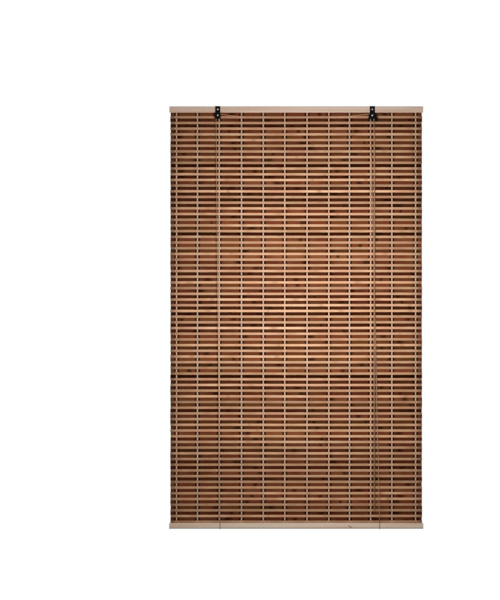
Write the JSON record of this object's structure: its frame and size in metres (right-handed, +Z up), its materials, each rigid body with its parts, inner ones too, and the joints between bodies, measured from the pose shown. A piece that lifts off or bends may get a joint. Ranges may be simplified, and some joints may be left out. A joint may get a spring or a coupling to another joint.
{
  "type": "bamboo roll up blind",
  "caption": "Roll up blind of alternating dark and light bamboo slats on cotton strings, with wooden rails, two steel pulley brackets, a cord lock and lift cords.",
  "frame": {"origin": "midway between the two hanger holes, on the wall side of the brackets' hanger legs", "axes": "+X along the rails to the right as seen from the room, +Y towards the wall, +Z up"},
  "size_m": [0.902, 0.0234, 1.5021],
  "materials": {
    "rail_wood": "plain sanded",
    "dark_bamboo": "carbonised, satin",
    "light_bamboo": "natural, satin",
    "black_steel": "black, satin",
    "bright_steel": "zinc plated",
    "wheel_plastic": "moulded",
    "cam_steel": "plain",
    "cord_fibre": "braided"
  },
  "bodies": {
    "headrail": {"headrail": "rail_wood", "dark_slats": "dark_bamboo", "light_slats": "light_bamboo", "headrail_tacks": "bright_steel", "left_bracket": "black_steel", "right_bracket": "black_steel", "bracket_screws": "bright_steel", "left_axle": "bright_steel", "right_axle": "bright_steel", "lock_cam_pin": "black_steel", "cord_anchor_screws": "bright_steel", "left_lift_cord": "cord_fibre", "right_lift_cord": "cord_fibre", "cross_cord": "cord_fibre", "front_pull_cord": "cord_fibre", "rear_pull_cord": "cord_fibre", "pull_knot": "cord_fibre"},
    "bottom_rail": {"bottom_rail": "rail_wood", "bottom_rail_tacks": "bright_steel"},
    "left_wheel": {"left_wheel": "wheel_plastic"},
    "right_front_wheel": {"right_front_wheel": "wheel_plastic"},
    "right_rear_wheel": {"right_rear_wheel": "wheel_plastic"},
    "lock_cam": {"lock_cam": "cam_steel"}
  },
  "joints": [
    {"name": "bottom_rail_lift", "type": "slide", "parent": "headrail", "child": "bottom_rail", "axis": [0, 0, 1], "range_m": [0, 1.3], "deforming": ["dark_slats", "light_slats", "left_lift_cord", "right_lift_cord"]},
    {"name": "left_wheel_turn", "type": "hinge", "parent": "headrail", "child": "left_wheel", "pos_m": [-0.274, -0.01762, -0.021], "axis": [0, 1, 0], "continuous": true},
    {"name": "right_front_wheel_turn", "type": "hinge", "parent": "headrail", "child": "right_front_wheel", "pos_m": [0.274, -0.01762, -0.021], "axis": [0, 1, 0], "continuous": true},
    {"name": "right_rear_wheel_turn", "type": "hinge", "parent": "headrail", "child": "right_rear_wheel", "pos_m": [0.274, -0.01332, -0.021], "axis": [0, 1, 0], "continuous": true},
    {"name": "lock_cam_release", "type": "hinge", "parent": "headrail", "child": "lock_cam", "pos_m": [0.2858, -0.01547, -0.0245], "axis": [0, -1, 0], "range_deg": [0, 40]}
  ]
}
